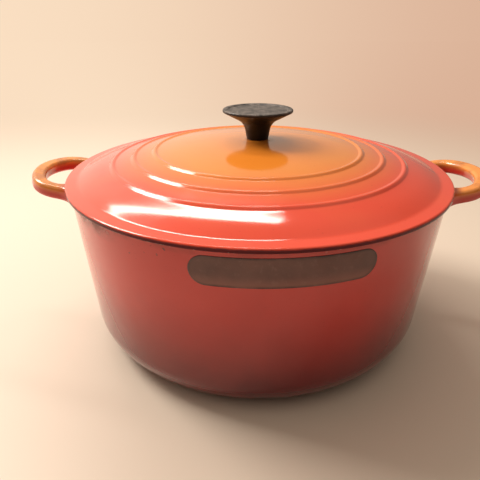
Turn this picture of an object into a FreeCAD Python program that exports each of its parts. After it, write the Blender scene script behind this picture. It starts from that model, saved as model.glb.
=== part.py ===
"""A round enamelled cast iron dutch oven: a pot with two loop handles, and a domed lid with a moulded knob.

Millimetres. +Z is up, X runs through the two handles, -Y is the front. The origin is the centre of the
foot ring's plane, where the pot stands.
"""

import FreeCAD
import Part
import math
import os
import re
import Sketcher

SIZES = {
    # Pot: a tapered bowl with a rounded heel and a shallow recess inside its foot ring.
    "pot_height": 118,
    "pot_rim_radius": 133,
    "pot_taper": 8.5,
    "pot_wall": 4,
    "pot_floor": 4.5,
    "heel_round": 27,
    "rim_round": 0.5,
    "recess_inset": 32.5,
    "recess_depth": 0.8,
    # Handles: a loop of round bar with two arms, two bends and a bowed grip, leaning up from the wall.
    "bar_radius": 4.75,
    "arm_span": 65,
    "loop_reach": 35.2,
    "loop_inset": 5,
    "corner_round": 17.5,
    "grip_round": 45,
    "handle_tilt": 11.3,
    "handle_drop": 4,
    "arm_root": 12,
    "root_round": 1,
    # Lid: flange, cove, shoulder and a shallow spherical dome with three beads.
    "lid_overhang": 3,
    "edge_height": 3,
    "edge_round": 1.2,
    "flange_rise": 1.1,
    "cove_inset": 16.5,
    "cove_round": 14,
    "shoulder_inset": 27,
    "shoulder_round": 18,
    "shoulder_rise": 6.75,
    "dome_round": 430,
    "lid_wall": 4,
    "under_inset": 2,
    "cove_wall": 3.6,
    "bead_inset": 32.1,
    "bead_spacing": 14.8,
    "bead_width": 3.8,
    "bead_height": 0.9,
    "bead_sink": 0.8,
    "bead_foot_round": 0.5,
    # Locating lip under the flange, loose inside the rim.
    "lip_gap": 1.2,
    "lip_depth": 4,
    "lip_width": 3.2,
    "lip_taper": 0.6,
    # Knob seat: a small flat land on top and a boss below, both round the screw hole.
    "land_margin": 1.6,
    "land_height": 0.3,
    "boss_margin": 6,
    "boss_height": 1.6,
    "boss_slope": 1.2,
    "hole_gap": 0.4,
    # Knob.
    "knob_radius": 25,
    "knob_height": 21,
    "knob_edge": 1.9,
    "knob_edge_round": 0.8,
    "knob_neck_radius": 7.9,
    "knob_waist_radius": 8.9,
    "knob_waist_height": 6.2,
    "knob_flare_radius": 13.6,
    "knob_flare_height": 13.3,
    "flare_round": 10,
    "knob_dish_inset": 3.5,
    "knob_dish_depth": 0.5,
    # Threaded insert moulded into the knob.
    "insert_wall": 1.55,
    "insert_length": 12,
    "insert_groove_depth": 0.6,
    "insert_groove_width": 3,
    "thread_gap": 0.05,
    "tip_room": 1.2,
    # Screw and washers under the lid.
    "screw_radius": 3,
    "tip_inset": 1.5,
    "screw_chamfer": 0.6,
    "head_radius": 6,
    "head_height": 3.6,
    "head_round": 2.2,
    "cross_span": 6.4,
    "cross_width": 1.3,
    "cross_depth": 2.2,
    "washer_width": 3.8,
    "washer_thickness": 1.2,
    "washer_gap": 0.2,
    "spring_width": 2.7,
    "spring_thickness": 1.6,
    "spring_slit": 0.9,
    # Label film on the front of the pot.
    "label_length": 100,
    "label_width": 18,
    "label_thickness": 0.3,
    "label_drop": 3.8,
    "label_turn": 7.2,
}

doc = FreeCAD.newDocument("dutch_oven")
sheet = doc.addObject("Spreadsheet::Sheet", "size")
for row, (alias, value) in enumerate(SIZES.items(), start=1):
    sheet.set(f"A{row}", str(value))
    sheet.setAlias(f"A{row}", alias)
doc.recompute()

WORD = re.compile(r"[a-z][a-z_]*")
BEADS = 3
START, END, CENTRE = 1, 2, 3
SAME_PLACE = 0.001
ON_WALL = 0.05


def bound(text):
    """The expression with each size's alias read from the sheet."""
    return WORD.sub(lambda word: f"size.{word.group()}" if word.group() in SIZES else word.group(), str(text))


def number(text):
    """The expression's value in millimetres."""
    return float(sheet.evalExpression(bound(text)))


def new_body(name):
    body = doc.addObject("PartDesign::Body", name)
    body.Label = name
    return body


def new_sketch(body, name, plane, offset="0"):
    """An empty sketch on one of the body's origin planes, raised along the plane's normal by offset."""
    sketch = body.newObject("Sketcher::SketchObject", name)
    support = next(o for o in body.Origin.OriginFeatures if o.Role == plane)
    sketch.AttachmentSupport = [(support, "")]
    sketch.MapMode = "FlatFace"
    sketch.setExpression("AttachmentOffset.Base.z", bound(offset))
    doc.recompute()
    return sketch


def tilted_sketch(body, name, plane, x, height, tilt):
    """An empty sketch on XY_Plane or YZ_Plane, moved to (x, 0, height) and leaned about Y by tilt degrees."""
    sketch = new_sketch(body, name, plane)
    flat = plane == "XY_Plane"
    axis = FreeCAD.Vector(0, 1, 0) if flat else FreeCAD.Vector(1, 0, 0)
    sketch.AttachmentOffset = FreeCAD.Placement(FreeCAD.Vector(0, 0, 0), axis, number(tilt))
    for place, value in zip(("x", "z") if flat else ("z", "y"), (x, height)):
        sketch.setExpression(f"AttachmentOffset.Base.{place}", bound(value))
    sketch.setExpression("AttachmentOffset.Rotation.Angle", bound(tilt))
    doc.recompute()
    return sketch


def pin_point(sketch, geometry, vertex, x, y):
    """Ties a vertex to its two expressions, or to an axis where one of them is 0."""
    for kind, axis, value in (("DistanceX", -2, x), ("DistanceY", -1, y)):
        if value == "0":
            sketch.addConstraint(Sketcher.Constraint("PointOnObject", geometry, vertex, axis))
            continue
        index = sketch.addConstraint(Sketcher.Constraint(kind, -1, 1, geometry, vertex, number(value)))
        sketch.setExpression(f"Constraints[{index}]", bound(value))


def arc_between(start, end, radius, side):
    """The short arc from start to end, with its centre to the left (side 1) or right (side -1) of the way."""
    chord = end - start
    left = FreeCAD.Vector(-chord.y, chord.x, 0).normalize() * side
    reach = math.sqrt(max(0.0, radius**2 - (chord.Length / 2) ** 2))
    middle = (start + end) / 2 + left * (reach - radius)
    return Part.Arc(start, middle, end)


def draw_loop(sketch, corners, closed=True):
    """Draws one loop, or an open path. A corner is (x, y), followed by (radius, side) where an arc leaves it."""
    points = [FreeCAD.Vector(number(c[0]), number(c[1]), 0) for c in corners]
    ends = []
    for index, corner in enumerate(corners if closed else corners[:-1]):
        start = points[index]
        end = points[(index + 1) % len(points)]
        if len(corner) == 2:
            geometry = sketch.addGeometry(Part.LineSegment(start, end), False)
        else:
            radius, side = corner[2:]
            geometry = sketch.addGeometry(arc_between(start, end, number(radius), side), False)
            tie = sketch.addConstraint(Sketcher.Constraint("Radius", geometry, number(radius)))
            sketch.setExpression(f"Constraints[{tie}]", bound(radius))
        forward = (sketch.getPoint(geometry, START) - start).Length < SAME_PLACE
        first, last = (START, END) if forward else (END, START)
        ends.append((geometry, first, last))
    for index, (geometry, first, last) in enumerate(ends):
        pin_point(sketch, geometry, first, *corners[index][:2])
        if index == len(ends) - 1 and not closed:
            pin_point(sketch, geometry, last, *corners[-1][:2])
            continue
        following, its_first, _ = ends[(index + 1) % len(ends)]
        sketch.addConstraint(Sketcher.Constraint("Coincident", geometry, last, following, its_first))


def draw_circle(sketch, x, y, radius):
    middle = FreeCAD.Vector(number(x), number(y), 0)
    up = FreeCAD.Vector(0, 0, 1)
    geometry = sketch.addGeometry(Part.Circle(middle, up, number(radius)), False)
    pin_point(sketch, geometry, CENTRE, x, y)
    tie = sketch.addConstraint(Sketcher.Constraint("Radius", geometry, number(radius)))
    sketch.setExpression(f"Constraints[{tie}]", bound(radius))


def draw_axis(sketch, x):
    """A vertical construction line at x, for a feature that turns about it."""
    low = FreeCAD.Vector(number(x), 0, 0)
    high = FreeCAD.Vector(number(x), 1, 0)
    line = sketch.addGeometry(Part.LineSegment(low, high), True)
    sketch.addConstraint(Sketcher.Constraint("Vertical", line))
    pin_point(sketch, line, START, x, "0")
    sketch.addConstraint(Sketcher.Constraint("DistanceY", line, START, line, END, 1))


def feature(body, kind, name, sketch, axis="V_Axis"):
    """A PartDesign feature made from a sketch, turned a full circle where it is a turned one."""
    made = body.newObject(f"PartDesign::{kind}", name)
    made.Profile = sketch
    if kind in ("Revolution", "Groove"):
        made.ReferenceAxis = (sketch, [axis])
        made.Angle = 360
    sketch.Visibility = False
    doc.recompute()
    return made


def turned(body, kind, name, corners):
    """A shape of revolution about Z from a loop of (radius, height) corners."""
    sketch = new_sketch(body, f"{name}_profile", "XZ_Plane")
    draw_loop(sketch, corners)
    return feature(body, kind, name, sketch)


def rounded(body, name, edges, radius):
    """A fillet on the named edges of the body's last feature."""
    base = body.Tip
    made = body.newObject("PartDesign::Fillet", name)
    made.Base = (base, edges)
    made.setExpression("Radius", bound(radius))
    doc.recompute()
    return made


def circles_at(shape, spots):
    """Names of the circular edges about Z with one of the (radius, height) pairs."""
    wanted = [(number(radius), number(height)) for radius, height in spots]
    names = []
    for index, edge in enumerate(shape.Edges, start=1):
        curve = edge.Curve
        if not isinstance(curve, Part.Circle) or math.hypot(curve.Center.x, curve.Center.y) > SAME_PLACE:
            continue
        spot = (curve.Radius, curve.Center.z)
        if any(math.dist(spot, place) < SAME_PLACE for place in wanted):
            names.append(f"Edge{index}")
    return names


def wall_radius(height):
    """The pot's outer radius at a height, as an expression."""
    return f"(pot_rim_radius - pot_taper * (1 - ({height}) / pot_height))"


# Radii shared by neighbours.
BASE_RADIUS = "(pot_rim_radius - pot_taper)"
LID_RADIUS = "(pot_rim_radius + lid_overhang)"
SHOULDER = f"({LID_RADIUS} - shoulder_inset)"
THREAD_BORE = "(screw_radius + thread_gap)"
INSERT_RADIUS = f"({THREAD_BORE} + insert_wall)"
INSERT_GROOVE = f"({INSERT_RADIUS} - insert_groove_depth)"
WASHER_BORE = "(screw_radius + washer_gap)"
WASHER_RADIUS = f"({WASHER_BORE} + washer_width)"

# Heights shared by the lid and what is screwed to it.
EDGE_TOP = "(pot_height + edge_height)"
APEX = f"({EDGE_TOP} + shoulder_rise + dome_round - sqrt(dome_round^2 - {SHOULDER}^2))"
KNOB_SEAT = f"({APEX} + land_height)"
BOSS_UNDER = f"({APEX} - lid_wall - boss_height)"
SPRING_TOP = f"({BOSS_UNDER} - washer_thickness)"
HEAD_TOP = f"({SPRING_TOP} - spring_thickness)"
INSERT_TOP = f"({KNOB_SEAT} + insert_length)"
GROOVE_LOW = f"({KNOB_SEAT} + (insert_length - insert_groove_width) / 2)"
GROOVE_HIGH = f"({KNOB_SEAT} + (insert_length + insert_groove_width) / 2)"


def dome(radius, inset="0"):
    """The dome's height at a radius, or that of the surface inset below it, as an expression."""
    ball = f"(dome_round - {inset})"
    return f"({APEX} - dome_round + sqrt({ball}^2 - ({radius})^2))"


def build_pot():
    body = new_body("pot_casting")
    turned(body, "Revolution", "pot_outside", [
        ("0", "recess_depth"),
        (f"{BASE_RADIUS} - recess_inset", "recess_depth"),
        (f"{BASE_RADIUS} - recess_inset + recess_depth", "0"),
        (BASE_RADIUS, "0"),
        ("pot_rim_radius", "pot_height"),
        ("0", "pot_height"),
    ])
    for name, side in (("right", ""), ("left", "-")):
        build_handle(body, name, side)
    rounded(body, "handle_roots", root_edges(body.Tip.Shape), "root_round")
    turned(body, "Groove", "pot_inside", [
        ("0", "pot_floor"),
        (f"{wall_radius('pot_floor')} - pot_wall", "pot_floor"),
        ("pot_rim_radius - pot_wall", "pot_height"),
        ("0", "pot_height"),
    ])
    inner_heel = circles_at(body.Tip.Shape, [(f"{wall_radius('pot_floor')} - pot_wall", "pot_floor")])
    rounded(body, "pot_inner_heel", inner_heel, "heel_round - pot_wall")
    heel = circles_at(body.Tip.Shape, [(BASE_RADIUS, "0")])
    rounded(body, "pot_heel", heel, "heel_round")
    rim = circles_at(body.Tip.Shape, [
        ("pot_rim_radius", "pot_height"),
        ("pot_rim_radius - pot_wall", "pot_height"),
    ])
    rounded(body, "pot_rim", rim, "rim_round")
    return body


def build_handle(body, name, side):
    """A bar swept along the loop's line. Each arm starts in the bowl, whose hollow cuts it off at the wall."""
    outward = -1 if side else 1
    tilt = "handle_tilt" if side else "-handle_tilt"
    foot = f"{side}(pot_rim_radius - loop_inset)"
    height = "(pot_height - handle_drop - bar_radius)"
    half = "arm_span / 2"
    # The bends' centres lie beside the grip's, as far from it as the two radii differ.
    beside = "(arm_span / 2 - corner_round)"
    between = "(grip_round - corner_round)"
    ahead = f"sqrt({between}^2 - {beside}^2)"
    bend = f"(loop_reach - grip_round + {ahead})"
    grip_end = (
        f"{side}(loop_reach - grip_round + grip_round * {ahead} / {between})",
        f"grip_round * {beside} / {between}",
    )
    line = tilted_sketch(body, f"{name}_handle_line", "XY_Plane", foot, height, tilt)
    draw_loop(line, [
        (f"{side}(-arm_root)", f"-{half}"),
        (f"{side}{bend}", f"-{half}", "corner_round", outward),
        (grip_end[0], f"-{grip_end[1]}", "grip_round", outward),
        (*grip_end, "corner_round", outward),
        (f"{side}{bend}", half),
        (f"{side}(-arm_root)", half),
    ], closed=False)
    start = f"{side}(pot_rim_radius - loop_inset - arm_root * cos(handle_tilt * 1 deg))"
    start_height = f"({height} - arm_root * sin(handle_tilt * 1 deg))"
    section = tilted_sketch(body, f"{name}_handle_section", "YZ_Plane", start, start_height, tilt)
    draw_circle(section, f"-{half}", "0", "bar_radius")
    loop = body.newObject("PartDesign::AdditivePipe", f"{name}_handle")
    loop.Profile = section
    loop.Spine = (line, [f"Edge{index}" for index in range(1, 6)])
    section.Visibility = False
    line.Visibility = False
    doc.recompute()


def root_edges(shape):
    """Names of the edges where the handles meet the outside of the pot's wall."""
    names = []
    for index, edge in enumerate(shape.Edges, start=1):
        middle = edge.valueAt((edge.FirstParameter + edge.LastParameter) / 2)
        on_wall = abs(math.hypot(middle.x, middle.y) - number(wall_radius(middle.z))) < ON_WALL
        if on_wall and not isinstance(edge.Curve, (Part.Circle, Part.Line)):
            names.append(f"Edge{index}")
    return names


def build_lid():
    body = new_body("lid_casting")
    lip_outer = "(pot_rim_radius - pot_wall - lip_gap)"
    lip_under = "(pot_height - lip_depth)"
    cove = f"({LID_RADIUS} - cove_inset)"
    cove_height = f"({EDGE_TOP} + flange_rise)"
    under_shoulder = f"({SHOULDER} - under_inset)"
    hole = "(screw_radius + hole_gap)"
    boss = f"({WASHER_RADIUS} + boss_margin)"
    boss_foot = f"({boss} + boss_slope)"
    land = "(knob_neck_radius + land_margin)"
    land_foot = f"({land} + land_height)"
    turned(body, "Revolution", "lid_shell", [
        (hole, KNOB_SEAT),
        (hole, BOSS_UNDER),
        (boss, BOSS_UNDER),
        (boss_foot, dome(boss_foot, "lid_wall"), "dome_round - lid_wall", -1),
        (under_shoulder, dome(under_shoulder, "lid_wall")),
        (f"{cove} - under_inset", f"{cove_height} - cove_wall"),
        (f"{lip_outer} - lip_width - lip_taper", "pot_height"),
        (f"{lip_outer} - lip_width", lip_under),
        (f"{lip_outer} - lip_taper", lip_under),
        (lip_outer, "pot_height"),
        (LID_RADIUS, "pot_height"),
        (LID_RADIUS, EDGE_TOP),
        (cove, cove_height),
        (SHOULDER, dome(SHOULDER), "dome_round", 1),
        (land_foot, dome(land_foot)),
        (land, KNOB_SEAT),
    ])
    rounded(body, "lid_cove", circles_at(body.Tip.Shape, [(cove, cove_height)]), "cove_round")
    rounded(body, "lid_shoulder", circles_at(body.Tip.Shape, [(SHOULDER, dome(SHOULDER))]), "shoulder_round")
    rim = circles_at(body.Tip.Shape, [(LID_RADIUS, EDGE_TOP), (LID_RADIUS, "pot_height")])
    rounded(body, "lid_rim", rim, "edge_round")
    build_beads(body)
    return body


def build_beads(body):
    """Low rounded beads round the dome, each with a soft foot."""
    sketch = new_sketch(body, "bead_profile", "XZ_Plane")
    crown = "(bead_width^2 / (8 * bead_height) + bead_height / 2)"
    feet = []
    for count in range(BEADS):
        middle = f"({LID_RADIUS} - bead_inset - bead_spacing * {count})"
        inner = f"({middle} - bead_width / 2)"
        outer = f"({middle} + bead_width / 2)"
        draw_loop(sketch, [
            (inner, f"{dome(inner)} - bead_sink"),
            (outer, f"{dome(outer)} - bead_sink"),
            (outer, dome(outer), crown, 1),
            (inner, dome(inner)),
        ])
        feet += [(inner, dome(inner)), (outer, dome(outer))]
    feature(body, "Revolution", "lid_beads", sketch)
    rounded(body, "bead_feet", circles_at(body.Tip.Shape, feet), "bead_foot_round")


def build_knob():
    """A disc on a flared neck, dished on top, with the insert's hollow open below."""
    body = new_body("knob")
    top = f"({KNOB_SEAT} + knob_height)"
    brim = f"({top} - knob_edge)"
    dish_floor = f"({top} - knob_dish_depth)"
    room_top = f"({INSERT_TOP} + tip_room)"
    turned(body, "Revolution", "knob_moulding", [
        (INSERT_RADIUS, KNOB_SEAT),
        ("knob_neck_radius", KNOB_SEAT),
        ("knob_waist_radius", f"{KNOB_SEAT} + knob_waist_height", "flare_round", -1),
        ("knob_flare_radius", f"{KNOB_SEAT} + knob_flare_height"),
        ("knob_radius", brim),
        ("knob_radius", top),
        ("knob_radius - knob_dish_inset", top),
        ("knob_radius - knob_dish_inset - knob_dish_depth", dish_floor),
        ("0", dish_floor),
        ("0", room_top),
        (THREAD_BORE, room_top),
        (THREAD_BORE, INSERT_TOP),
        (INSERT_RADIUS, INSERT_TOP),
        (INSERT_RADIUS, GROOVE_HIGH),
        (INSERT_GROOVE, GROOVE_HIGH),
        (INSERT_GROOVE, GROOVE_LOW),
        (INSERT_RADIUS, GROOVE_LOW),
    ])
    edge = circles_at(body.Tip.Shape, [("knob_radius", brim), ("knob_radius", top)])
    rounded(body, "knob_edge_rounding", edge, "knob_edge_round")
    return body


def build_insert():
    """The brass thread in the knob, held by the moulding in its waisted groove."""
    body = new_body("knob_insert")
    turned(body, "Revolution", "insert_turning", [
        (THREAD_BORE, KNOB_SEAT),
        (INSERT_RADIUS, KNOB_SEAT),
        (INSERT_RADIUS, GROOVE_LOW),
        (INSERT_GROOVE, GROOVE_LOW),
        (INSERT_GROOVE, GROOVE_HIGH),
        (INSERT_RADIUS, GROOVE_HIGH),
        (INSERT_RADIUS, INSERT_TOP),
        (THREAD_BORE, INSERT_TOP),
    ])
    return body


def build_screw():
    """A pan head screw driven up through the lid from below, with a cross recess in its head."""
    body = new_body("knob_screw")
    tip = f"({INSERT_TOP} - tip_inset)"
    crown = f"({HEAD_TOP} - head_height)"
    turned(body, "Revolution", "screw_turning", [
        ("0", crown),
        ("head_radius - head_round", crown, "head_round", 1),
        ("head_radius", f"{crown} + head_round"),
        ("head_radius", HEAD_TOP),
        ("screw_radius", HEAD_TOP),
        ("screw_radius", f"{tip} - screw_chamfer"),
        ("screw_radius - screw_chamfer", tip),
        ("0", tip),
    ])
    sketch = new_sketch(body, "cross_outline", "XY_Plane", offset=crown)
    reach = "cross_span / 2"
    slot = "cross_width / 2"
    draw_loop(sketch, [
        (reach, f"-{slot}"), (reach, slot), (slot, slot), (slot, reach),
        (f"-{slot}", reach), (f"-{slot}", slot), (f"-{reach}", slot), (f"-{reach}", f"-{slot}"),
        (f"-{slot}", f"-{slot}"), (f"-{slot}", f"-{reach}"), (slot, f"-{reach}"), (slot, f"-{slot}"),
    ])
    recess = feature(body, "Pocket", "cross_recess", sketch)
    recess.Reversed = True
    recess.setExpression("Length", bound("cross_depth"))
    return body


def build_flat_washer():
    body = new_body("flat_washer")
    turned(body, "Revolution", "washer_ring", [
        (WASHER_BORE, SPRING_TOP),
        (WASHER_RADIUS, SPRING_TOP),
        (WASHER_RADIUS, BOSS_UNDER),
        (WASHER_BORE, BOSS_UNDER),
    ])
    return body


def build_spring_washer():
    """A split lock washer, squeezed flat between the flat washer and the screw's head."""
    body = new_body("spring_washer")
    spring_radius = f"({WASHER_BORE} + spring_width)"
    turned(body, "Revolution", "spring_ring", [
        (WASHER_BORE, HEAD_TOP),
        (spring_radius, HEAD_TOP),
        (spring_radius, SPRING_TOP),
        (WASHER_BORE, SPRING_TOP),
    ])
    sketch = new_sketch(body, "slit_outline", "XZ_Plane")
    lean = "spring_thickness / 2"
    draw_loop(sketch, [
        (f"-spring_slit / 2 - {lean}", HEAD_TOP),
        (f"spring_slit / 2 - {lean}", HEAD_TOP),
        (f"spring_slit / 2 + {lean}", SPRING_TOP),
        (f"-spring_slit / 2 + {lean}", SPRING_TOP),
    ])
    slit = feature(body, "Pocket", "spring_slit_cut", sketch)
    slit.setExpression("Length", bound(f"{spring_radius} * 2"))
    return body


def build_label():
    """A film with round ends, wrapped round the front of the pot just under its rim."""
    body = new_body("front_label")
    low = "(pot_height - label_drop - label_width)"
    high = "(pot_height - label_drop)"
    turned(body, "Revolution", "label_strip", [
        (wall_radius(low), low),
        (f"{wall_radius(low)} + label_thickness", low),
        (f"{wall_radius(high)} + label_thickness", high),
        (wall_radius(high), high),
    ])
    sketch = new_sketch(body, "label_trim", "XZ_Plane")
    half = "(label_length - label_width) / 2"
    frame = "(pot_rim_radius + label_width)"
    draw_loop(sketch, [
        (f"-{frame}", f"{low} - label_width"),
        (frame, f"{low} - label_width"),
        (frame, f"{high} + label_width"),
        (f"-{frame}", f"{high} + label_width"),
    ])
    middle = f"({low} + label_width / 2)"
    draw_loop(sketch, [
        (f"-{half}", low),
        (half, low, "label_width / 2", 1),
        (f"{half} + label_width / 2", middle, "label_width / 2", 1),
        (half, high),
        (f"-{half}", high, "label_width / 2", 1),
        (f"-{half} - label_width / 2", middle, "label_width / 2", 1),
    ])
    trim = feature(body, "Pocket", "label_outline", sketch)
    trim.Midplane = True
    trim.setExpression("Length", bound("(pot_rim_radius + label_width) * 2"))
    doc.recompute()
    build_label_front(body)
    body.Placement = FreeCAD.Placement(FreeCAD.Vector(0, 0, 0), FreeCAD.Vector(0, 0, 1), number("label_turn"))
    body.setExpression("Placement.Rotation.Angle", bound("label_turn"))
    return body


def build_label_front(body):
    """Cuts away the half of the strip that lies behind the pot."""
    sketch = new_sketch(body, "label_back_outline", "XY_Plane", offset="pot_height")
    reach = "(pot_rim_radius + label_width)"
    draw_loop(sketch, [
        (f"-{reach}", "0"),
        (reach, "0"),
        (reach, reach),
        (f"-{reach}", reach),
    ])
    back = feature(body, "Pocket", "label_back_cut", sketch)
    back.setExpression("Length", bound("pot_height"))


def check_document(bodies):
    """Stops the build if any object failed or a sub-part's shape isn't one closed solid."""
    failed = [o.Label for o in doc.Objects if {"Invalid", "Error"} & set(o.State)]
    if failed:
        raise SystemExit(f"these objects failed: {failed}")
    for body in bodies:
        shape = body.Shape
        if shape.isNull() or not shape.isValid() or len(shape.Solids) != 1:
            raise SystemExit(f"{body.Label} isn't one valid solid")


def main():
    bodies = [
        build_pot(),
        build_lid(),
        build_knob(),
        build_insert(),
        build_screw(),
        build_flat_washer(),
        build_spring_washer(),
        build_label(),
    ]
    doc.recompute()
    check_document(bodies)
    os.makedirs("parts", exist_ok=True)
    for body in bodies:
        body.Shape.exportStep(f"parts/{body.Label}.step")
        print(body.Label, round(body.Shape.Volume, 1), "mm3")


main()
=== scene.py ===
"""Looks for an enamelled cast iron dutch oven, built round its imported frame. Metres, +Z up, -Y the front."""

import math

import bmesh
import bpy
from mathutils import Matrix, Quaternion, Vector


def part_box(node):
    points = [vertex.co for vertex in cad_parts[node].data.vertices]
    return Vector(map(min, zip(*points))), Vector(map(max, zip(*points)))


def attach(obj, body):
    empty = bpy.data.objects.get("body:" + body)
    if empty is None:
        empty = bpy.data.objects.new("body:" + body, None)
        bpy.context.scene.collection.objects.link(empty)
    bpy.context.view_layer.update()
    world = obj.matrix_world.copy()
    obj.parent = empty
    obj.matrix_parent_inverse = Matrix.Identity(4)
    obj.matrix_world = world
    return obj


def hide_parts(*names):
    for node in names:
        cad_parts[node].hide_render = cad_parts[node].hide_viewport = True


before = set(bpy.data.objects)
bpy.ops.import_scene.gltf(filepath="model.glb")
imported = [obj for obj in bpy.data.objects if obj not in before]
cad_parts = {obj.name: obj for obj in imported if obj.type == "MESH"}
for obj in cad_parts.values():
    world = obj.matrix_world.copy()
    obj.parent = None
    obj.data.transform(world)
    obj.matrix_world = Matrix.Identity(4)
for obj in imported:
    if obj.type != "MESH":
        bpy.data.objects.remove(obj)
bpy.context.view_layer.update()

MM = 0.001

# Places read from the frame.
POT_LOW, POT_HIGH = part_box("pot_casting")
LID_LOW, LID_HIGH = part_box("lid_casting")
KNOB_LOW, KNOB_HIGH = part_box("knob")
LABEL_LOW, LABEL_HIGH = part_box("front_label")

LID_RADIUS = LID_HIGH.x
RIM_HEIGHT = LID_LOW.z + 4 * MM
HANDLE_REACH = POT_HIGH.x
KNOB_RADIUS = KNOB_HIGH.x
KNOB_SEAT = KNOB_LOW.z
KNOB_TOP = KNOB_HIGH.z

# Pot.
RIM_RADIUS = LID_RADIUS - 3 * MM
WALL_TAPER = 8.5 * MM
WALL = 4 * MM
FLOOR = 4.5 * MM
HEEL_ROUND = 27 * MM
RIM_ROUND = 1.1 * MM
RECESS_RADIUS = 92 * MM
RECESS_DEPTH = 0.8 * MM

# Lid.
EDGE_TOP = RIM_HEIGHT + 3 * MM
DOME_ROUND = 430 * MM
COVE = LID_RADIUS - 8.3 * MM
COVE_HEIGHT = EDGE_TOP + 0.6 * MM
COVE_ROUND = 9 * MM
SHOULDER = LID_RADIUS - 27 * MM
SHOULDER_CORNER = LID_RADIUS - 17.5 * MM
SHOULDER_HEIGHT = EDGE_TOP + 4.35 * MM
SHOULDER_ROUND = 85 * MM
APEX = EDGE_TOP + 6.75 * MM + DOME_ROUND - math.sqrt(DOME_ROUND**2 - SHOULDER**2)
BEAD_RADII = [LID_RADIUS - inset * MM for inset in (61.7, 46.9, 32.1)]
BEAD_REACH = 2.5 * MM
BEAD_HEIGHT = 0.95 * MM
LIP_OUTER = RIM_RADIUS - WALL - 1.2 * MM
BOSS_RADIUS = 13 * MM
BOSS_UNDER = APEX - 5.6 * MM
HOLE_RADIUS = 3.4 * MM

# Handles: two arms, two bends and a bowed grip, leaning up from the wall.
LOOP_FOOT = RIM_RADIUS - 5 * MM
LOOP_HEIGHT = RIM_HEIGHT - 8.75 * MM
HANDLE_TILT = math.radians(11.3)
ARM_SIDE = 32.5 * MM
BEND = 17.5 * MM
GRIP_BOW = 45 * MM
BAR_WIDTH = 9.4 * MM
BAR_HEIGHT = 9.4 * MM
BAR_ROUND = 2.8 * MM
BAR_FLAT = BAR_WIDTH / 2 - BAR_ROUND
BAR_REACH = BAR_FLAT * (math.cos(HANDLE_TILT) + math.sin(HANDLE_TILT)) + BAR_ROUND
LOOP_REACH = (HANDLE_REACH - LOOP_FOOT - BAR_REACH) / math.cos(HANDLE_TILT)
ROOT_ROUND = 12 * MM

AROUND = 288


# ---------------------------------------------------------------- outlines and turned shapes


def arc_at(before, corner, after, radius, steps):
    """Points of the arc that rounds a corner, each a (radius, height) pair."""
    corner = Vector(corner)
    one = (Vector(before) - corner).normalized()
    two = (Vector(after) - corner).normalized()
    half = one.angle(two) / 2
    centre = corner + (one + two).normalized() * radius / math.sin(half)
    start = corner + one * radius / math.tan(half) - centre
    end = corner + two * radius / math.tan(half) - centre
    turn = start.angle_signed(end)
    return [tuple(centre + Matrix.Rotation(-turn * step / steps, 2) @ start) for step in range(steps + 1)]


def outline(corners, closed=True):
    """Corner points, with an arc at each one that has a third number, its radius."""
    points = []
    for index, corner in enumerate(corners):
        place = corner[:2]
        if len(corner) == 2:
            points.append(place)
            continue
        before = corners[index - 1][:2]
        after = corners[(index + 1) % len(corners)][:2]
        turn = math.pi - (Vector(before) - Vector(place)).angle(Vector(after) - Vector(place))
        points += arc_at(before, place, after, corner[2], max(4, round(math.degrees(turn) / 6)))
    return points


def spun(points, steps=AROUND, closed=True):
    """A bmesh turned about Z from an outline in the XZ plane."""
    mesh = bmesh.new()
    ring = [mesh.verts.new((radius, 0, height)) for radius, height in points]
    pairs = list(zip(ring, ring[1:]))
    if closed:
        pairs.append((ring[-1], ring[0]))
    edges = [mesh.edges.new(pair) for pair in pairs]
    bmesh.ops.spin(mesh, geom=ring + edges, cent=(0, 0, 0), axis=(0, 0, 1), angle=math.tau,
                   steps=steps, use_merge=True)
    bmesh.ops.remove_doubles(mesh, verts=mesh.verts, dist=0.01 * MM)
    bmesh.ops.recalc_face_normals(mesh, faces=mesh.faces)
    return mesh


def piece(name, mesh, materials, body, replaced):
    """A finished piece: smooth shaded, riding on its body in place of a CAD node."""
    data = bpy.data.meshes.new(name)
    mesh.to_mesh(data)
    mesh.free()
    data.shade_smooth()
    for material in materials:
        data.materials.append(material)
    made = bpy.data.objects.new(name, data)
    bpy.context.scene.collection.objects.link(made)
    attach(made, body)
    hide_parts(replaced)
    return made


def wall_radius(height):
    """The pot's outer radius at a height."""
    return RIM_RADIUS - WALL_TAPER * (1 - height / RIM_HEIGHT)


def dome_height(radius, inset=0.0):
    """The lid's height at a radius, or that of the surface inset below it."""
    return APEX - DOME_ROUND + math.sqrt((DOME_ROUND - inset) ** 2 - radius**2)


# ---------------------------------------------------------------- shader helpers


# A Mix node's colour sockets, which share their names with its other sockets.
MIX_ONE = 6
MIX_TWO = 7
MIX_RESULT = 2


def node(tree, kind, **settings):
    made = tree.nodes.new(f"ShaderNode{kind}")
    for name, value in settings.items():
        setattr(made, name, value)
    return made


def feed(tree, socket, source):
    """Sets a socket to a plain value, or links it to another socket."""
    if isinstance(source, bpy.types.NodeSocket):
        tree.links.new(source, socket)
    else:
        socket.default_value = source


def math_node(tree, operation, *values, clamp=False):
    made = node(tree, "Math", operation=operation, use_clamp=clamp)
    for socket, value in zip(made.inputs, values):
        feed(tree, socket, value)
    return made.outputs[0]


def spread(tree, value, low, high, start=0.0, end=1.0, smooth=False):
    """value rescaled from low..high to start..end, and kept inside it."""
    made = node(tree, "MapRange", interpolation_type="SMOOTHSTEP" if smooth else "LINEAR")
    for name, source in (("Value", value), ("From Min", low), ("From Max", high), ("To Min", start), ("To Max", end)):
        feed(tree, made.inputs[name], source)
    return made.outputs["Result"]


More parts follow.
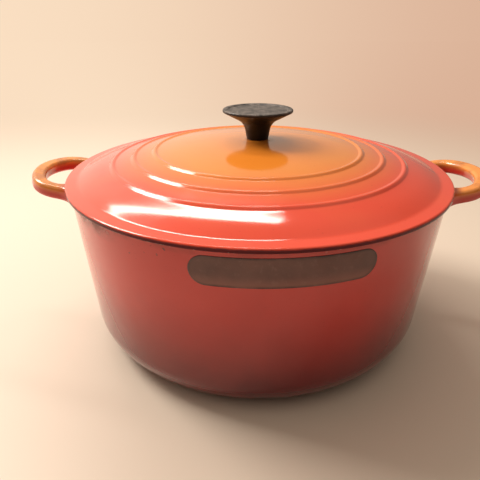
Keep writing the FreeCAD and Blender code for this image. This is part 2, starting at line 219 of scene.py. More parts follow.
def mixed(tree, factor, one, two, blend="MIX"):
    """Two colours mixed, or blended another way."""
    made = node(tree, "Mix", data_type="RGBA", blend_type=blend)
    feed(tree, made.inputs["Factor"], factor)
    feed(tree, made.inputs[MIX_ONE], one)
    feed(tree, made.inputs[MIX_TWO], two)
    return made.outputs[MIX_RESULT]


def noise(tree, place, scale, detail=2.0, roughness=0.5, distortion=0.0):
    made = node(tree, "TexNoise")
    feed(tree, made.inputs["Vector"], place)
    feed(tree, made.inputs["Scale"], scale)
    feed(tree, made.inputs["Detail"], detail)
    feed(tree, made.inputs["Roughness"], roughness)
    feed(tree, made.inputs["Distortion"], distortion)
    return made.outputs["Fac"]


def object_place(tree):
    return node(tree, "TexCoord").outputs["Object"]


def plan_radius(tree, place):
    """Distance from the Z axis."""
    flat = node(tree, "VectorMath", operation="MULTIPLY")
    feed(tree, flat.inputs[0], place)
    flat.inputs[1].default_value = (1, 1, 0)
    length = node(tree, "VectorMath", operation="LENGTH")
    tree.links.new(flat.outputs[0], length.inputs[0])
    return length.outputs["Value"]


def effect(name, inputs, outputs):
    """An empty shader node group with named sockets, its input node and its output node."""
    group = bpy.data.node_groups.new(name, "ShaderNodeTree")
    for label, kind, value in inputs:
        socket = group.interface.new_socket(label, in_out="INPUT", socket_type=f"NodeSocket{kind}")
        if value is not None:
            socket.default_value = value
    for label, kind in outputs:
        group.interface.new_socket(label, in_out="OUTPUT", socket_type=f"NodeSocket{kind}")
    return group, group.nodes.new("NodeGroupInput"), group.nodes.new("NodeGroupOutput")


def place_effect(tree, group, **values):
    """A node group in a material's tree, with its inputs set by name."""
    made = tree.nodes.new("ShaderNodeGroup")
    made.node_tree = group
    for name, value in values.items():
        feed(tree, made.inputs[name], value)
    return made


def material(name):
    made = bpy.data.materials.new(name)
    made.use_nodes = True
    tree = made.node_tree
    return made, tree, tree.nodes["Principled BSDF"]


def bump(tree, shader, height, distance, strength=1.0):
    made = node(tree, "Bump")
    made.inputs["Strength"].default_value = strength
    made.inputs["Distance"].default_value = distance
    tree.links.new(height, made.inputs["Height"])
    tree.links.new(made.outputs["Normal"], shader.inputs["Normal"])


# ---------------------------------------------------------------- effects


def make_enamel_skin():
    """Fired glass: a slow shift of colour, wiped-over gloss, and a surface that is never quite flat."""
    group, given, out = effect(
        "enamel_skin",
        [("Place", "Vector", None), ("Colour", "Color", None), ("Deep", "Color", None),
         ("Depth", "Float", 0.0), ("Mottle", "Float", 0.2)],
        [("Colour", "Color"), ("Roughness", "Float"), ("Height", "Float")],
    )
    place = given.outputs["Place"]
    cloud = spread(group, noise(group, place, 26, 3), 0.3, 0.7, -0.5, 0.5)
    drift = math_node(group, "MULTIPLY", cloud, given.outputs["Mottle"])
    depth = math_node(group, "ADD", given.outputs["Depth"], drift, clamp=True)
    colour = mixed(group, depth, given.outputs["Colour"], given.outputs["Deep"])
    pits = spread(group, noise(group, place, 900, 1), 0.74, 0.8)
    colour = mixed(group, math_node(group, "MULTIPLY", pits, 0.35), colour, (0.25, 0.02, 0.01, 1))
    smears = spread(group, noise(group, place, 19, 5, 0.62, 0.6), 0.42, 0.72, 0.09, 0.2)
    waves = noise(group, place, 48, 1)
    peel = math_node(group, "MULTIPLY", noise(group, place, 420, 1), 0.1)
    feed(group, out.inputs["Colour"], colour)
    feed(group, out.inputs["Roughness"], smears)
    feed(group, out.inputs["Height"], math_node(group, "ADD", waves, peel))
    return group


def make_chipping():
    """Where the glass has broken away: ragged flakes inside a zone, their dark iron and their pale broken edge."""
    group, given, out = effect(
        "chipping",
        [("Place", "Vector", None), ("Zone", "Float", 0.0), ("Scale", "Float", 200.0)],
        [("Iron", "Float"), ("Broken edge", "Float")],
    )
    ragged = noise(group, given.outputs["Place"], given.outputs["Scale"], 3, 0.65)
    level = math_node(group, "SUBTRACT", 1.0, math_node(group, "MULTIPLY", given.outputs["Zone"], 0.52))
    over = math_node(group, "SUBTRACT", ragged, level)
    iron = spread(group, over, 0.0, 0.02)
    edge = math_node(group, "SUBTRACT", spread(group, over, -0.03, -0.01), iron, clamp=True)
    feed(group, out.inputs["Iron"], iron)
    feed(group, out.inputs["Broken edge"], edge)
    return group


def make_scuffing():
    """Fine rubbed scratches that roughen and lighten a surface."""
    group, given, out = effect(
        "scuffing",
        [("Place", "Vector", None), ("Scale", "Float", 300.0), ("Amount", "Float", 0.3)],
        [("Mask", "Float"), ("Height", "Float")],
    )
    stretched = node(group, "Mapping")
    feed(group, stretched.inputs["Vector"], given.outputs["Place"])
    stretched.inputs["Rotation"].default_value = (0.3, 0.2, 0.7)
    stretched.inputs["Scale"].default_value = (1, 0.12, 1)
    lines = noise(group, stretched.outputs["Vector"], given.outputs["Scale"], 4, 0.7)
    mask = math_node(group, "MULTIPLY", spread(group, lines, 0.55, 0.68), given.outputs["Amount"])
    feed(group, out.inputs["Mask"], mask)
    feed(group, out.inputs["Height"], lines)
    return group


ENAMEL_SKIN = make_enamel_skin()
CHIPPING = make_chipping()
SCUFFING = make_scuffing()


# ---------------------------------------------------------------- materials

ORANGE = (0.95, 0.30, 0.035, 1)
CORAL = (0.95, 0.085, 0.036, 1)
# Dark maroon painted as the shade on the lid's upright edge.
EDGE_SHADE_MAROON = (0.13, 0.004, 0.009, 1)
EDGE_SHADE_DEEP = (0.06, 0.003, 0.006, 1)
# Burnt-on stain colour, also used for the painted shadow under the rim.
BURNT_ON_AND_RIM_SHADOW = (0.16, 0.03, 0.022, 1)
WALL_RED = (0.66, 0.05, 0.04, 1)
# Handle colours: the lighter top is partly painted light from above.
HANDLE_ORANGE_LIT_TOP = (0.95, 0.34, 0.07, 1)
HANDLE_RED_SHADED_UNDER = (0.66, 0.05, 0.03, 1)
# Heel red: partly the enamel's own fade, partly painted shade.
HEEL_RED_AND_SHADE = (0.11, 0.006, 0.010, 1)
IRON = (0.025, 0.02, 0.018, 1)
BROKEN_GLASS = (0.75, 0.55, 0.45, 1)
SAND = (0.78, 0.70, 0.55, 1)
SAND_DEEP = (0.62, 0.52, 0.37, 1)


def enamel(name, colour, deep, depth_of, mottle, zone_of=None, stain_and_shade_of=None, broken=BROKEN_GLASS, coat=0.5):
    """A glossy enamel. depth_of, zone_of and stain_and_shade_of give its fade, its chipped zone, and its stains and
    painted shade.
    """
    made, tree, shader = material(name)
    place = object_place(tree)
    if callable(colour):
        colour = colour(tree, place)
    depth = depth_of(tree, place)
    skin = place_effect(tree, ENAMEL_SKIN, Place=place, Colour=colour, Deep=deep, Depth=depth, Mottle=mottle)
    shown = skin.outputs["Colour"]
    gloss = skin.outputs["Roughness"]
    if stain_and_shade_of:
        # Stains, and the painted shade of the lid's edge band.
        stain_and_shade, stain_and_shade_colour = stain_and_shade_of(tree, place)
        shown = mixed(tree, stain_and_shade, shown, stain_and_shade_colour)
        gloss = spread(tree, stain_and_shade, 0, 1, gloss, 0.55)
        feed(tree, shader.inputs["Coat Weight"], spread(tree, stain_and_shade, 0, 1, coat, 0.0))
    if zone_of:
        chips = place_effect(tree, CHIPPING, Place=place, Zone=zone_of(tree, place), Scale=230.0)
        shown = mixed(tree, chips.outputs["Broken edge"], shown, broken)
        shown = mixed(tree, chips.outputs["Iron"], shown, IRON)
        gloss = spread(tree, chips.outputs["Iron"], 0, 1, gloss, 0.8)
    feed(tree, shader.inputs["Base Color"], shown)
    feed(tree, shader.inputs["Roughness"], gloss)
    shader.inputs["IOR"].default_value = 1.52
    if not stain_and_shade_of:
        shader.inputs["Coat Weight"].default_value = coat
    shader.inputs["Coat Roughness"].default_value = 0.12
    bump(tree, shader, skin.outputs["Height"], 0.12 * MM)
    return made


def lid_fade(tree, place):
    """Orange in the middle of the lid, coral from the third bead out."""
    return spread(tree, plan_radius(tree, place), 58 * MM, 112 * MM, smooth=True)


def height_of(tree, place):
    parts = node(tree, "SeparateXYZ")
    tree.links.new(place, parts.inputs[0])
    return parts.outputs["X"], parts.outputs["Y"], parts.outputs["Z"]


def pot_colour(tree, place):
    """Red on the wall; the handles orange on top and red below, partly the enamel's flame fade and partly painted
    light from above.
    """
    radius = plan_radius(tree, place)
    out = spread(tree, radius, RIM_RADIUS + 1 * MM, RIM_RADIUS + 12 * MM, smooth=True)
    across, _, height = height_of(tree, place)
    reach = math_node(tree, "SUBTRACT", math_node(tree, "ABSOLUTE", across), LOOP_FOOT)
    lean = math_node(tree, "MULTIPLY", reach, math.tan(HANDLE_TILT))
    over = math_node(tree, "SUBTRACT", math_node(tree, "SUBTRACT", height, lean), LOOP_HEIGHT)
    # Painted light: handle tops lighter orange, their lower halves red.
    top_face_lit = spread(tree, over, -1 * MM, BAR_HEIGHT * 0.42, smooth=True)
    return mixed(tree, out, WALL_RED, mixed(tree, top_face_lit, HANDLE_RED_SHADED_UNDER, HANDLE_ORANGE_LIT_TOP))


def pot_heel_fade_and_shade(tree, place):
    """Deeper red round the heel, partly the enamel's fade and partly painted shade low on the wall."""
    _, _, height = height_of(tree, place)
    return spread(tree, height, 96 * MM, 8 * MM, 0.0, 0.95, smooth=True)


def plain_fade(tree, place):
    return math_node(tree, "ADD", 0.25, 0.0)


def round_zone(tree, place, middle, reach):
    """1 within reach degrees of an angle round the pot, counted from the front towards +X, fading to 0."""
    x, y, _ = height_of(tree, place)
    aim = math.radians(middle)
    along = math_node(tree, "ADD", math_node(tree, "MULTIPLY", x, math.sin(aim)),
                      math_node(tree, "MULTIPLY", y, -math.cos(aim)))
    share = math_node(tree, "DIVIDE", along, plan_radius(tree, place))
    return spread(tree, share, math.cos(math.radians(reach)), math.cos(math.radians(reach / 2)), smooth=True)


def lid_chip_zone(tree, place):
    """The lower corner of the lid's edge, most of all at the front left and by the right handle."""
    _, _, height = height_of(tree, place)
    low = spread(tree, height, RIM_HEIGHT + 1.3 * MM, RIM_HEIGHT + 0.4 * MM)
    edge = spread(tree, plan_radius(tree, place), LID_RADIUS - 2 * MM, LID_RADIUS - 1 * MM)
    left = round_zone(tree, place, -33, 22)
    right = round_zone(tree, place, 66, 24)
    worn = math_node(tree, "MAXIMUM", math_node(tree, "MAXIMUM", left, right), 0.72)
    return math_node(tree, "MULTIPLY", math_node(tree, "MULTIPLY", low, edge), worn)


def pot_chip_zone(tree, place):
    """Small specks just under the rim at the front left."""
    _, _, height = height_of(tree, place)
    band = math_node(tree, "MULTIPLY", spread(tree, height, RIM_HEIGHT - 22 * MM, RIM_HEIGHT - 12 * MM),
                     round_zone(tree, place, -26, 12))
    return math_node(tree, "MULTIPLY", band, 0.66)


def pot_stain_and_rim_shadow(tree, place):
    """A burnt-on drip under the rim at the left, and a faint painted shadow of the lid along the top of the wall."""
    _, _, height = height_of(tree, place)
    cloud = noise(tree, place, 70, 3, 0.6)
    drip = math_node(tree, "MULTIPLY", spread(tree, height, RIM_HEIGHT - 11 * MM, RIM_HEIGHT - 4 * MM),
                     round_zone(tree, place, -46, 11))
    # Painted shadow of the lid's overhang, just under the rim.
    painted_rim_shadow = spread(tree, height, RIM_HEIGHT - 5 * MM, RIM_HEIGHT - 1 * MM, 0, 0.55)
    where = math_node(tree, "MAXIMUM", drip, painted_rim_shadow)
    return math_node(tree, "MULTIPLY", where, spread(tree, cloud, 0.42, 0.62, 0, 0.8)), BURNT_ON_AND_RIM_SHADOW


def lid_edge_painted_shade(tree, place):
    """Painted shade: the dark band round the lid's upright edge."""
    _, _, height = height_of(tree, place)
    ragged = math_node(tree, "MULTIPLY", noise(tree, place, 160, 3, 0.6), 0.8 * MM)
    low = spread(tree, math_node(tree, "ADD", height, ragged), RIM_HEIGHT + 3.1 * MM, RIM_HEIGHT + 2.4 * MM)
    edge = spread(tree, plan_radius(tree, place), LID_RADIUS - 2 * MM, LID_RADIUS - 0.8 * MM)
    return math_node(tree, "MULTIPLY", low, edge), EDGE_SHADE_MAROON


# Its edge band is painted shade.
LID_ENAMEL = enamel("lid_flame_enamel", ORANGE, CORAL, lid_fade, 0.12, lid_chip_zone, lid_edge_painted_shade)
# The pot's heel fade, handle tops and the band under the rim carry painted shade and light.
POT_ENAMEL = enamel("pot_flame_enamel", pot_colour, HEEL_RED_AND_SHADE, pot_heel_fade_and_shade, 0.14, pot_chip_zone, pot_stain_and_rim_shadow, BURNT_ON_AND_RIM_SHADOW, 0.2)
# The lid's upright edge: dark maroon painted shade, with its chips.
EDGE_SHADE_ENAMEL = enamel("edge_painted_shade_enamel", EDGE_SHADE_MAROON, EDGE_SHADE_DEEP, plain_fade, 0.6, lid_chip_zone, coat=0.0)
EDGE_SHADE_ENAMEL.node_tree.nodes["Principled BSDF"].inputs["Specular IOR Level"].default_value = 0.18
INNER_ENAMEL = enamel("sand_enamel", SAND, SAND_DEEP, plain_fade, 0.35)


def make_black_rim():
    """Matte black enamel on the faces where the lid meets the pot."""
    made, tree, shader = material("matte_black_rim")
    place = object_place(tree)
    scuffs = place_effect(tree, SCUFFING, Place=place, Scale=500.0, Amount=0.5)
    colour = mixed(tree, scuffs.outputs["Mask"], (0.02, 0.018, 0.017, 1), (0.09, 0.075, 0.065, 1))
    feed(tree, shader.inputs["Base Color"], colour)
    feed(tree, shader.inputs["Roughness"], spread(tree, scuffs.outputs["Mask"], 0, 1, 0.7, 0.5))
    bump(tree, shader, noise(tree, place, 900, 3), 0.05 * MM)
    return made


def make_phenolic():
    """Black moulded phenolic, grey on its top: partly worn, partly a painted sheen."""
    made, tree, shader = material("black_phenolic")
    place = object_place(tree)
    _, _, height = height_of(tree, place)
    scuffs = place_effect(tree, SCUFFING, Place=place, Scale=420.0, Amount=0.7)
    top = spread(tree, height, KNOB_TOP - 1.2 * MM, KNOB_TOP - 0.5 * MM)
    # Grey top: partly wear, partly painted sheen.
    worn_and_sheen = math_node(tree, "MULTIPLY", top, spread(tree, noise(tree, place, 160, 4, 0.6), 0.35, 0.7))
    colour = mixed(tree, worn_and_sheen, (0.010, 0.009, 0.010, 1), (0.20, 0.165, 0.145, 1))
    colour = mixed(tree, math_node(tree, "MULTIPLY", top, scuffs.outputs["Mask"]), colour, (0.26, 0.22, 0.19, 1))
    feed(tree, shader.inputs["Base Color"], colour)
    feed(tree, shader.inputs["Roughness"], spread(tree, top, 0, 1, 0.42, 0.4))
    shader.inputs["Specular IOR Level"].default_value = 0.35
    grain = math_node(tree, "ADD", noise(tree, place, 1500, 2), scuffs.outputs["Height"])
    bump(tree, shader, grain, 0.03 * MM)
    return made


def make_label_film():
    """Taupe film, blank, darker and torn along its border."""
    made, tree, shader = material("taupe_label_film")
    place = object_place(tree)
    border = node(tree, "Attribute", attribute_name="border").outputs["Fac"]
    cloud = noise(tree, place, 90, 4, 0.6)
    worn = math_node(tree, "MULTIPLY", border, spread(tree, cloud, 0.3, 0.6), clamp=True)
    smoke = spread(tree, noise(tree, place, 34, 4, 0.6), 0.35, 0.7)
    _, _, height = height_of(tree, place)
    lower = spread(tree, height, LABEL_LOW.z + 8 * MM, LABEL_LOW.z + 1 * MM, 0.0, 0.5, smooth=True)
    colour = mixed(tree, smoke, (0.20, 0.085, 0.068, 1), (0.12, 0.052, 0.045, 1))
    colour = mixed(tree, lower, colour, (0.34, 0.13, 0.10, 1))
    colour = mixed(tree, worn, colour, (0.03, 0.016, 0.016, 1))
    scuffs = place_effect(tree, SCUFFING, Place=place, Scale=260.0, Amount=0.22)
    colour = mixed(tree, scuffs.outputs["Mask"], colour, (0.3, 0.16, 0.13, 1))
    feed(tree, shader.inputs["Base Color"], colour)
    feed(tree, shader.inputs["Roughness"], spread(tree, cloud, 0.3, 0.7, 0.28, 0.5))
    bump(tree, shader, cloud, 0.1 * MM)
    return made


def make_metal(name, colour, scale):
    """A turned or cold-headed metal part, with fine tool marks."""
    made, tree, shader = material(name)
    place = object_place(tree)
    scuffs = place_effect(tree, SCUFFING, Place=place, Scale=scale, Amount=0.6)
    shade = tuple(channel * 0.55 for channel in colour[:3]) + (1,)
    feed(tree, shader.inputs["Base Color"], mixed(tree, scuffs.outputs["Mask"], colour, shade))
    feed(tree, shader.inputs["Roughness"], spread(tree, scuffs.outputs["Mask"], 0, 1, 0.28, 0.5))
    shader.inputs["Metallic"].default_value = 1.0
    bump(tree, shader, scuffs.outputs["Height"], 0.03 * MM)
    return made


BLACK_RIM = make_black_rim()
PHENOLIC = make_phenolic()
LABEL_FILM = make_label_film()
STEEL = make_metal("stainless_steel", (0.56, 0.55, 0.53, 1), 700.0)
BRASS = make_metal("turned_brass", (0.72, 0.50, 0.22, 1), 900.0)


# ---------------------------------------------------------------- pot


def pot_outline():
    base_radius = wall_radius(0)
    return outline([
        (0, FLOOR),
        (wall_radius(FLOOR) - WALL, FLOOR, HEEL_ROUND - WALL),
        (RIM_RADIUS - WALL, RIM_HEIGHT, RIM_ROUND),
        (RIM_RADIUS, RIM_HEIGHT, RIM_ROUND),
        (base_radius, 0, HEEL_ROUND),
        (RECESS_RADIUS + RECESS_DEPTH, 0, 0.4 * MM),
        (RECESS_RADIUS, RECESS_DEPTH, 0.4 * MM),
        (0, RECESS_DEPTH),
    ])


def to_wall(place, way):
    """How far a point is from the pot's wall along a direction that runs into it."""
    square = way.xy.length_squared
    along = place.xy.dot(way.xy)
    travel = 0.0
    for _ in range(5):
        reach = wall_radius(place.z + travel * way.z)
        travel = (-along - math.sqrt(along**2 - square * (place.xy.length_squared - reach**2))) / square
    return travel


def open_edges(mesh, vertices):
    return [edge for edge in mesh.edges if edge.is_boundary and all(v in vertices for v in edge.verts)]


def extruded(mesh, edges, vector):
    """Carries an open ring of edges along a vector. Returns the new ring's vertices."""
    made = bmesh.ops.extrude_edge_only(mesh, edges=edges)["geom"]
    fresh = [item for item in made if isinstance(item, bmesh.types.BMVert)]
    bmesh.ops.translate(mesh, verts=fresh, vec=vector)
    return fresh


def grow_root(mesh, ring, middle, way):
    """Carries a bar's open end on to the wall, widening like a fillet, and closes it inside the wall."""
    starts = {vertex: vertex.co.copy() for vertex in ring}
    for step in range(1, ROOT_STEPS + 2):
        fresh = extruded(mesh, open_edges(mesh, starts), (0, 0, 0))
        turn = math.radians(90) * min(step, ROOT_STEPS) / ROOT_STEPS
        widening = ROOT_ROUND * (1 - math.cos(turn))
        short = ROOT_ROUND * (1 - math.sin(turn)) if step <= ROOT_STEPS else -1.5 * MM
        moved = {}
        for vertex in fresh:
            before = next(e.other_vert(vertex) for e in vertex.link_edges if e.other_vert(vertex) in starts)
            begin = starts[before]
            outward = (begin - middle).normalized()
            wide = begin + Vector((outward.x, outward.y, outward.z * ROOT_UPRIGHT)) * widening
            vertex.co = wide + way * (to_wall(wide, way) - short)
            moved[vertex] = begin
        starts = moved
    bmesh.ops.holes_fill(mesh, edges=open_edges(mesh, starts))


ROOT_STEPS = 12
ROOT_UPRIGHT = 0.3


def add_handle(mesh, side):
    """One loop handle: half of it drawn flat from the middle of its grip, then leaned, rooted and mirrored."""
    half = BAR_WIDTH / 2
    grip_turn = math.asin((ARM_SIDE - BEND) / (GRIP_BOW - BEND))
    grip_centre = Vector((LOOP_REACH - GRIP_BOW, 0, 0))
    bend_centre = Vector((grip_centre.x + (GRIP_BOW - BEND) * math.cos(grip_turn), ARM_SIDE - BEND, 0))
    section = outline([
        (LOOP_REACH - half, BAR_HEIGHT / 2, BAR_ROUND),
        (LOOP_REACH + half, BAR_HEIGHT / 2, BAR_ROUND),
        (LOOP_REACH + half, -BAR_HEIGHT / 2, BAR_ROUND),
        (LOOP_REACH - half, -BAR_HEIGHT / 2, BAR_ROUND),
    ])
    part = bmesh.new()
    ring = [part.verts.new((x, 0, height)) for x, height in section]
    edges = [part.edges.new(pair) for pair in zip(ring, ring[1:] + ring[:1])]
    for centre, turn in ((grip_centre, grip_turn), (bend_centre, math.pi / 2 - grip_turn)):
        last = bmesh.ops.spin(part, geom=ring + edges, cent=centre, axis=(0, 0, 1), angle=turn, steps=18)["geom_last"]
        ring = [item for item in last if isinstance(item, bmesh.types.BMVert)]
        edges = [item for item in last if isinstance(item, bmesh.types.BMEdge)]
    lean = Matrix.Rotation(-HANDLE_TILT, 4, "Y")
    place = Matrix.Translation((LOOP_FOOT, 0, LOOP_HEIGHT)) @ lean
    bmesh.ops.transform(part, matrix=place, verts=part.verts)
    grow_root(part, ring, place @ Vector((bend_centre.x, ARM_SIDE, 0)), lean @ Vector((-1, 0, 0)))
    bmesh.ops.mirror(part, geom=part.verts[:] + part.edges[:] + part.faces[:], merge_dist=0.01 * MM, axis="Y")
    if side < 0:
        bmesh.ops.rotate(part, verts=part.verts, cent=(0, 0, 0), matrix=Matrix.Rotation(math.pi, 3, "Z"))
    bmesh.ops.recalc_face_normals(part, faces=part.faces)
    data = bpy.data.meshes.new("handle")
    part.to_mesh(data)
    part.free()
    mesh.from_mesh(data)
    bpy.data.meshes.remove(data)


def make_pot():
    """One casting: the turned bowl and its two loop handles."""
    mesh = spun(pot_outline(), closed=False)
    outside = set()
    for face in mesh.faces:
        middle = face.calc_center_median()
        radius = middle.xy.length
        if middle.z > RIM_HEIGHT - RIM_ROUND * 0.9:
            face.material_index = 2
        elif middle.z > RECESS_DEPTH * 1.5 and radius < wall_radius(middle.z) - WALL / 2 and face.normal.z > -0.3:
            inner = face.normal.xy.dot(middle.xy) < 0 or face.normal.z > 0.9
            face.material_index = 1 if inner else 0
    for side in (1, -1):
        add_handle(mesh, side)
    made = piece("pot_shell", mesh, [POT_ENAMEL, INNER_ENAMEL, BLACK_RIM], "pot", "pot_casting")
    keep_flats(made)
    return made


def keep_flats(made):
    """Lets large faces set the shading where they meet a rounding."""
    weighting = made.modifiers.new("flat_faces_lead", "WEIGHTED_NORMAL")
    weighting.weight = 50
    weighting.keep_sharp = False


# ---------------------------------------------------------------- lid


def dome_points(inner, outer, spacing, inset=0.0):
    """Points along the dome between two radii."""
    count = max(1, round((outer - inner) / spacing))
    radii = [inner + (outer - inner) * step / count for step in range(count + 1)]
    return [(radius, dome_height(radius, inset)) for radius in radii]


def bead_points(middle, steps=14):
    """A rounded bead standing on the dome, with a soft foot on each side."""
    points = []
    for step in range(1, steps):
        across = 2 * step / steps - 1
        rise = BEAD_HEIGHT * (0.5 + 0.5 * math.cos(math.pi * across)) ** 0.85
        radius = middle + BEAD_REACH * across
        points.append((radius, dome_height(radius) + rise))
    return points


def lid_outline():
    land = 9.5 * MM
    points = [(HOLE_RADIUS, LID_HIGH.z), (land, LID_HIGH.z)]
    start = land + 0.5 * MM
    for middle in BEAD_RADII:
        points += dome_points(start, middle - BEAD_REACH, 2.5 * MM)
        points += bead_points(middle)
        start = middle + BEAD_REACH
    points += dome_points(start, SHOULDER, 2 * MM)[:-1]
    points += outline([
        (SHOULDER, dome_height(SHOULDER)),
        (SHOULDER_CORNER, SHOULDER_HEIGHT, SHOULDER_ROUND),
        (COVE, COVE_HEIGHT, COVE_ROUND),
        (LID_RADIUS, EDGE_TOP, 1.3 * MM),
        (LID_RADIUS, RIM_HEIGHT, 0.9 * MM),
        (LIP_OUTER, RIM_HEIGHT, 0.4 * MM),
        (LIP_OUTER - 0.6 * MM, LID_LOW.z, 0.6 * MM),
        (LIP_OUTER - 3.2 * MM, LID_LOW.z, 0.6 * MM),
        (LIP_OUTER - 3.8 * MM, RIM_HEIGHT, 3 * MM),
        (SHOULDER_CORNER - 1 * MM, SHOULDER_HEIGHT - WALL, 60 * MM),
        (SHOULDER - 8 * MM, dome_height(SHOULDER - 8 * MM, WALL)),
    ])
    boss_foot = BOSS_RADIUS + 1.2 * MM
    points += reversed(dome_points(boss_foot, SHOULDER - 8 * MM, 5 * MM, WALL)[:-1])
    points += [(BOSS_RADIUS + 0.2 * MM, BOSS_UNDER + 0.2 * MM), (BOSS_RADIUS - 0.2 * MM, BOSS_UNDER)]
    points += [(HOLE_RADIUS, BOSS_UNDER)]
    return points


def make_lid():
    """One casting: dome with beads, shoulder, cove, flange, locating lip and boss."""
    mesh = spun(lid_outline())
    for face in mesh.faces:
        middle = face.calc_center_median()
        radius = middle.xy.length
        under = face.normal.z < -0.2 or (radius < LIP_OUTER + 1 * MM and middle.z < RIM_HEIGHT + 0.1 * MM)
        upright = radius > LID_RADIUS - 0.7 * MM and middle.z < RIM_HEIGHT + 1.75 * MM
        if upright:
            face.material_index = 3
        elif under and radius > LIP_OUTER - 3.9 * MM and radius < LID_RADIUS - 0.7 * MM:
            face.material_index = 2
        elif under and radius <= LIP_OUTER - 3.9 * MM:
            face.material_index = 1
    finishes = [LID_ENAMEL, INNER_ENAMEL, BLACK_RIM, EDGE_SHADE_ENAMEL]
    made = piece("lid_shell", mesh, finishes, "lid", "lid_casting")
    keep_flats(made)
    return made


# ---------------------------------------------------------------- knob


def make_knob():
    """A disc on a flared neck, its top framed by a raised border."""
    def at(radius, height, *radii):
        return (radius * MM, KNOB_SEAT + height * MM, *(r * MM for r in radii))

    mesh = spun(outline([
        at(0, 20.5),
        at(20.6, 20.35, 1.2),
        at(21.7, 20.95, 0.9),
        at(25, 21, 1.0),
        at(25, 19.15, 0.75),
        at(9.9, 11.4, 10),
        at(7.75, 0, 0.3),
        at(4.6, 0),
        at(4.6, 12),
        at(3.05, 12),
        at(3.05, 13.2),
        at(0, 13.2),
    ]), steps=160, closed=False)
    made = piece("knob_moulding", mesh, [PHENOLIC], "lid", "knob")
    keep_flats(made)
    return made


# ---------------------------------------------------------------- label


def make_label():
    """A thin stadium of film bent round the wall. Its border fades are kept as an attribute."""
    half_width = (LABEL_HIGH.z - LABEL_LOW.z) / 2
    half_length = 51 * MM
    straight = half_length - half_width
    middle_height = (LABEL_HIGH.z + LABEL_LOW.z) / 2
    turn = math.atan2((LABEL_LOW.x + LABEL_HIGH.x) / 2, -LABEL_LOW.y)
    thickness = 0.22 * MM
    mesh = bmesh.new()
    bmesh.ops.create_grid(mesh, x_segments=150, y_segments=26, size=1)
    for vertex in mesh.verts:
        across = math.sin(vertex.co.y * math.pi / 2)
        reach = straight + half_width * math.sqrt(max(0.0, 1 - across**2))
        vertex.co = (vertex.co.x * reach, 0, across * half_width)
    bmesh.ops.remove_doubles(mesh, verts=mesh.verts, dist=0.02 * MM)
    top = bmesh.ops.extrude_face_region(mesh, geom=mesh.faces[:])["geom"]
    top_faces = [item for item in top if isinstance(item, bmesh.types.BMFace)]
    bmesh.ops.translate(mesh, verts=list({v for f in top_faces for v in f.verts}), vec=(0, -thickness, 0))
    edge_fade = mesh.verts.layers.float.new("border")
    for vertex in mesh.verts:
        flat = Vector((max(0.0, abs(vertex.co.x) - straight), vertex.co.z))
        margin = half_width - flat.length
        vertex[edge_fade] = max(0.0, 1 - margin / (1.6 * MM))
        height = middle_height + vertex.co.z
        radius = wall_radius(height) - vertex.co.y
        angle = turn + vertex.co.x / RIM_RADIUS
        vertex.co = (radius * math.sin(angle), -radius * math.cos(angle), height)
    bmesh.ops.recalc_face_normals(mesh, faces=mesh.faces)
    made = piece("label_film", mesh, [LABEL_FILM], "pot", "front_label")
    return made


make_pot()
make_lid()
make_knob()
make_label()
for cad_name, metal in (("knob_screw", STEEL), ("flat_washer", STEEL), ("spring_washer", STEEL), ("knob_insert", BRASS)):
    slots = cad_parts[cad_name].material_slots
    for index in range(len(slots)):
        slots[index].material = metal


# ---------------------------------------------------------------- floor, light and camera


WINDOW_SIDE = (0.96, 0.74, 0.54, 1)
FAR_SIDE = (0.70, 0.44, 0.31, 1)
WORKTOP = (0.84, 0.72, 0.60, 1)
LAMP_WARMTH = (1.0, 0.93, 0.84)
STRIP_ROLL = math.radians(-13)


def backdrop_colour(tree, way):
    """Pale and warm, brighter towards the window side."""
    x, _, _ = height_of(tree, way)
    return mixed(tree, spread(tree, x, -0.55, 0.6, smooth=True), WINDOW_SIDE, FAR_SIDE)


def make_floor():
    """A plain pale worktop that turns into the backdrop far behind the pot."""
    mesh = bmesh.new()
    bmesh.ops.create_grid(mesh, x_segments=1, y_segments=1, size=6)
    data = bpy.data.meshes.new("floor")
    mesh.to_mesh(data)
    mesh.free()
    made, tree, shader = material("pale_worktop")
    shader.inputs["Base Color"].default_value = WORKTOP
    shader.inputs["Roughness"].default_value = 0.55
    place = object_place(tree)
    way = node(tree, "VectorMath", operation="NORMALIZE")
    tree.links.new(place, way.inputs[0])
    glow = node(tree, "Emission")
    feed(tree, glow.inputs["Color"], backdrop_colour(tree, way.outputs[0]))
    far = spread(tree, plan_radius(tree, place), 0.3, 1.1, smooth=True)
    seen = math_node(tree, "MULTIPLY", far, node(tree, "LightPath").outputs["Is Camera Ray"])
    both = node(tree, "MixShader")
    feed(tree, both.inputs[0], seen)
    tree.links.new(shader.outputs[0], both.inputs[1])
    tree.links.new(glow.outputs[0], both.inputs[2])
    tree.links.new(both.outputs[0], tree.nodes["Material Output"].inputs["Surface"])
    data.materials.append(made)
    floor = bpy.data.objects.new("floor", data)
    bpy.context.scene.collection.objects.link(floor)


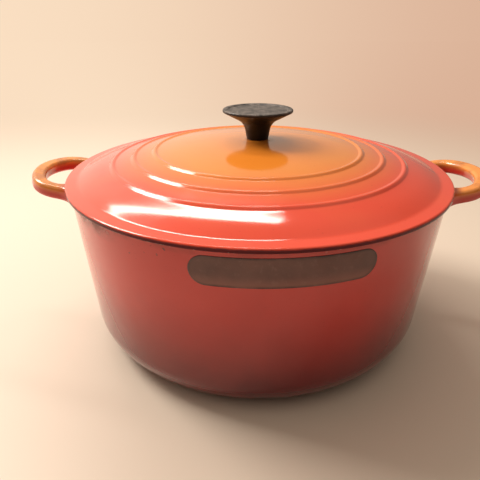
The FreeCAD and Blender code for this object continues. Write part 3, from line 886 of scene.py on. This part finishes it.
def make_lamp(name, place, aim, size, power, colour, roll=0.0):
    """A soft rectangular lamp that looks at a point, rolled about its own aim."""
    data = bpy.data.lights.new(name, "AREA")
    data.shape = "RECTANGLE"
    data.size, data.size_y = size
    data.energy = power
    data.color = colour
    lamp = bpy.data.objects.new(name, data)
    lamp.location = place
    facing = (Vector(aim) - Vector(place)).to_track_quat("-Z", "Y")
    lamp.rotation_euler = (facing @ Quaternion((0, 0, 1), roll)).to_euler()
    bpy.context.scene.collection.objects.link(lamp)


def make_world():
    """A warm room, bright behind and to the left, dim in front."""
    world = bpy.data.worlds.new("studio")
    world.use_nodes = True
    bpy.context.scene.world = world
    tree = world.node_tree
    way = node(tree, "TexCoord").outputs["Generated"]
    x, y, z = height_of(tree, way)
    side = spread(tree, x, -0.9, 0.7, 1.45, 0.25, smooth=True)
    depth = spread(tree, y, -0.75, 0.8, 0.05, 0.9, smooth=True)
    overhead = spread(tree, z, 0.3, 0.9, 0.0, 0.6, smooth=True)
    level = math_node(tree, "MAXIMUM", math_node(tree, "MULTIPLY", side, depth), overhead)
    light = mixed(tree, 1.0, (0.95, 0.8, 0.66, 1), level, blend="MULTIPLY")
    seen = node(tree, "LightPath").outputs["Is Camera Ray"]
    feed(tree, tree.nodes["Background"].inputs["Color"], mixed(tree, seen, light, backdrop_colour(tree, way)))
    tree.nodes["Background"].inputs["Strength"].default_value = 1.0


def make_camera():
    data = bpy.data.cameras.new("camera")
    data.sensor_width = 36
    data.lens = 33.5
    camera = bpy.data.objects.new("camera", data)
    camera.location = (-1.2 * MM, -324.8 * MM, 217.7 * MM)
    camera.rotation_euler = (math.radians(90 - 25.94), math.radians(0.1), math.radians(2))
    bpy.context.scene.collection.objects.link(camera)
    bpy.context.scene.camera = camera


make_floor()
make_world()
make_lamp("window", (-1.38, 0.56, 1.49), (0, 0, 0.12), (0.75, 0.75), 31, LAMP_WARMTH)
make_lamp("worktop_strip", (-0.23, 0.345, 0.65), (-0.23, -0.1, 0.13), (0.64, 0.066), 2.1, LAMP_WARMTH, STRIP_ROLL)
make_camera()
bpy.context.scene.view_settings.view_transform = "Standard"
